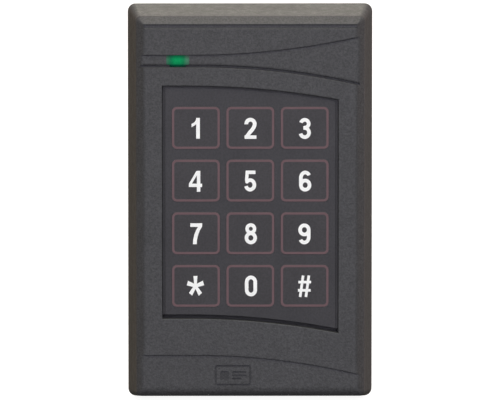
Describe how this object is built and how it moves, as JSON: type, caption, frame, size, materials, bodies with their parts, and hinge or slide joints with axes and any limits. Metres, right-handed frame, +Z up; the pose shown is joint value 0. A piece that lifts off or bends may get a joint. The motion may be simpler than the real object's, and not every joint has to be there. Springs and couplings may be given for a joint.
{
  "type": "keypad access reader",
  "caption": "Wall-mounted proximity access reader with a sprung keypad, a green indicator window and a textured cover that tilts open for its wall screws.",
  "frame": {"origin": "centre of the flat back face that rests on the wall", "axes": "+X to the right and +Z up as the reader hangs, +Y into the wall; the keypad face looks along -Y"},
  "size_m": [0.075, 0.019, 0.1216],
  "materials": {
    "cover_plastic": "fine spark-eroded texture, charcoal grey",
    "base_plastic": "plain moulded, dark grey",
    "keypad_film": "satin smooth film, near black",
    "key_face": "satin smooth, near black",
    "key_ink_white": "printed white characters",
    "key_ink_red": "printed dull red frame lines",
    "green_lens": "clear green moulded light pipe",
    "gasket_foam": "closed-cell foam, black",
    "grommet_rubber": "soft black rubber",
    "potting_resin": "cast epoxy, black, glossy",
    "circuit_laminate": "green solder mask over glass laminate",
    "former_plastic": "natural nylon",
    "coil_wire": "enamelled copper winding",
    "dome_steel": "bright sprung steel",
    "screw_steel": "zinc-plated steel",
    "chip_epoxy": "moulded black epoxy",
    "can_metal": "drawn metal can",
    "connector_black": "black nylon with tinned pins",
    "connector_white": "natural white nylon"
  },
  "bodies": {
    "base": {"base_housing": "base_plastic", "wall_gasket": "gasket_foam", "cable_grommet": "grommet_rubber", "potting_resin": "potting_resin", "main_pcb": "circuit_laminate", "coil_former": "former_plastic", "antenna_coil": "coil_wire", "keypad_overlay": "keypad_film", "keypad_frame": "base_plastic", "keypad_pcb": "circuit_laminate", "dome_1": "dome_steel", "dome_2": "dome_steel", "dome_3": "dome_steel", "dome_4": "dome_steel", "dome_5": "dome_steel", "dome_6": "dome_steel", "dome_7": "dome_steel", "dome_8": "dome_steel", "dome_9": "dome_steel", "dome_star": "dome_steel", "dome_0": "dome_steel", "dome_hash": "dome_steel", "microcontroller": "chip_epoxy", "reader_chip": "chip_epoxy", "voltage_regulator": "chip_epoxy", "crystal": "can_metal", "capacitor_1": "can_metal", "capacitor_2": "can_metal", "buzzer": "chip_epoxy", "status_led": "green_lens", "board_connector": "connector_black", "cable_connector": "connector_white", "board_screw_1": "screw_steel", "board_screw_2": "screw_steel", "board_screw_3": "screw_steel", "board_screw_4": "screw_steel", "keypad_screw_1": "screw_steel", "keypad_screw_2": "screw_steel", "keypad_screw_3": "screw_steel", "keypad_screw_4": "screw_steel"},
    "cover": {"front_cover": "cover_plastic", "led_lens": "green_lens"},
    "key_1": {"key_1": "key_face"},
    "key_2": {"key_2": "key_face"},
    "key_3": {"key_3": "key_face"},
    "key_4": {"key_4": "key_face"},
    "key_5": {"key_5": "key_face"},
    "key_6": {"key_6": "key_face"},
    "key_7": {"key_7": "key_face"},
    "key_8": {"key_8": "key_face"},
    "key_9": {"key_9": "key_face"},
    "key_star": {"key_star": "key_face"},
    "key_0": {"key_0": "key_face"},
    "key_hash": {"key_hash": "key_face"}
  },
  "joints": [
    {"name": "cover_tilt", "type": "hinge", "parent": "base", "child": "cover", "pos_m": [0, 0, 0.06075], "axis": [-1, 0, 0], "range_deg": [0, 30]},
    {"name": "press_1", "type": "slide", "parent": "base", "child": "key_1", "axis": [0, 1, 0], "range_m": [0, 0.0005], "stiffness_N_per_m": 2000, "springref_m": -0.0003, "deforming": ["dome_1"]},
    {"name": "press_2", "type": "slide", "parent": "base", "child": "key_2", "axis": [0, 1, 0], "range_m": [0, 0.0005], "stiffness_N_per_m": 2000, "springref_m": -0.0003, "deforming": ["dome_2"]},
    {"name": "press_3", "type": "slide", "parent": "base", "child": "key_3", "axis": [0, 1, 0], "range_m": [0, 0.0005], "stiffness_N_per_m": 2000, "springref_m": -0.0003, "deforming": ["dome_3"]},
    {"name": "press_4", "type": "slide", "parent": "base", "child": "key_4", "axis": [0, 1, 0], "range_m": [0, 0.0005], "stiffness_N_per_m": 2000, "springref_m": -0.0003, "deforming": ["dome_4"]},
    {"name": "press_5", "type": "slide", "parent": "base", "child": "key_5", "axis": [0, 1, 0], "range_m": [0, 0.0005], "stiffness_N_per_m": 2000, "springref_m": -0.0003, "deforming": ["dome_5"]},
    {"name": "press_6", "type": "slide", "parent": "base", "child": "key_6", "axis": [0, 1, 0], "range_m": [0, 0.0005], "stiffness_N_per_m": 2000, "springref_m": -0.0003, "deforming": ["dome_6"]},
    {"name": "press_7", "type": "slide", "parent": "base", "child": "key_7", "axis": [0, 1, 0], "range_m": [0, 0.0005], "stiffness_N_per_m": 2000, "springref_m": -0.0003, "deforming": ["dome_7"]},
    {"name": "press_8", "type": "slide", "parent": "base", "child": "key_8", "axis": [0, 1, 0], "range_m": [0, 0.0005], "stiffness_N_per_m": 2000, "springref_m": -0.0003, "deforming": ["dome_8"]},
    {"name": "press_9", "type": "slide", "parent": "base", "child": "key_9", "axis": [0, 1, 0], "range_m": [0, 0.0005], "stiffness_N_per_m": 2000, "springref_m": -0.0003, "deforming": ["dome_9"]},
    {"name": "press_star", "type": "slide", "parent": "base", "child": "key_star", "axis": [0, 1, 0], "range_m": [0, 0.0005], "stiffness_N_per_m": 2000, "springref_m": -0.0003, "deforming": ["dome_star"]},
    {"name": "press_0", "type": "slide", "parent": "base", "child": "key_0", "axis": [0, 1, 0], "range_m": [0, 0.0005], "stiffness_N_per_m": 2000, "springref_m": -0.0003, "deforming": ["dome_0"]},
    {"name": "press_hash", "type": "slide", "parent": "base", "child": "key_hash", "axis": [0, 1, 0], "range_m": [0, 0.0005], "stiffness_N_per_m": 2000, "springref_m": -0.0003, "deforming": ["dome_hash"]}
  ]
}
